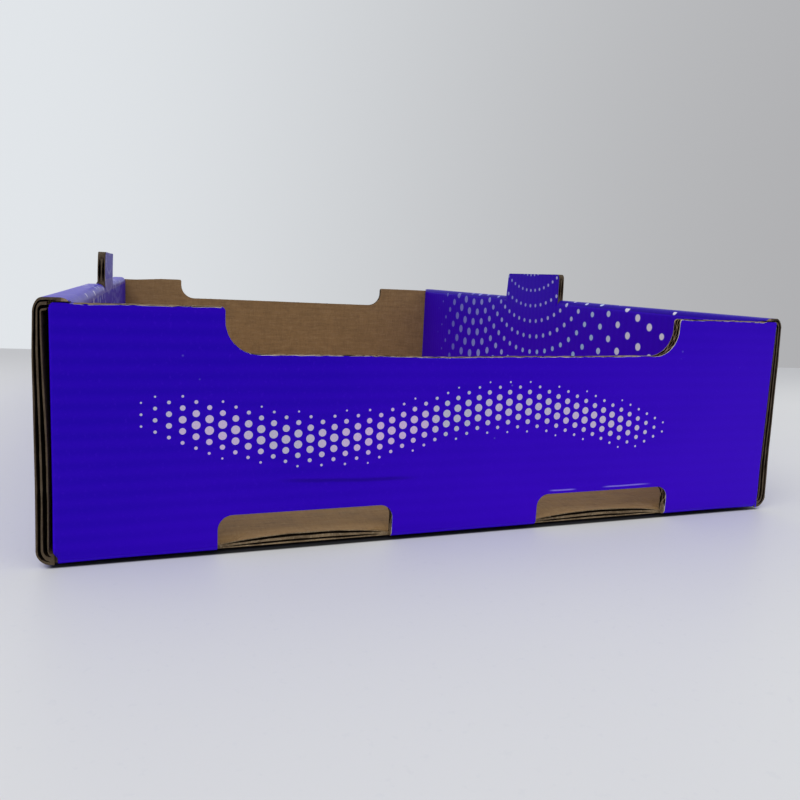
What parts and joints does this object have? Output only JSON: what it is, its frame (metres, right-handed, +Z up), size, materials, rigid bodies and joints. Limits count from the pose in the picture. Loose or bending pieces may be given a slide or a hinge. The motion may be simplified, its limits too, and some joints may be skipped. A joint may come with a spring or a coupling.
{
  "type": "cardboard tray box",
  "caption": "Shallow folded tray of double-wall corrugated board, with roll-over sides, recessed and vented ends, and stacking tabs.",
  "frame": {"origin": "middle of the underside, on the surface that the tray rests on", "axes": "+Z up, +Y along the long side towards the rear wall, +X across towards the right side wall"},
  "size_m": [0.3, 0.4, 0.1026],
  "materials": {
    "printed_board": "satin blue print on the outside and on the roll-over sides, bare brown kraft on the inside of the base and of the end walls"
  },
  "bodies": {
    "root": {"tray": "printed_board"}
  },
  "joints": []
}
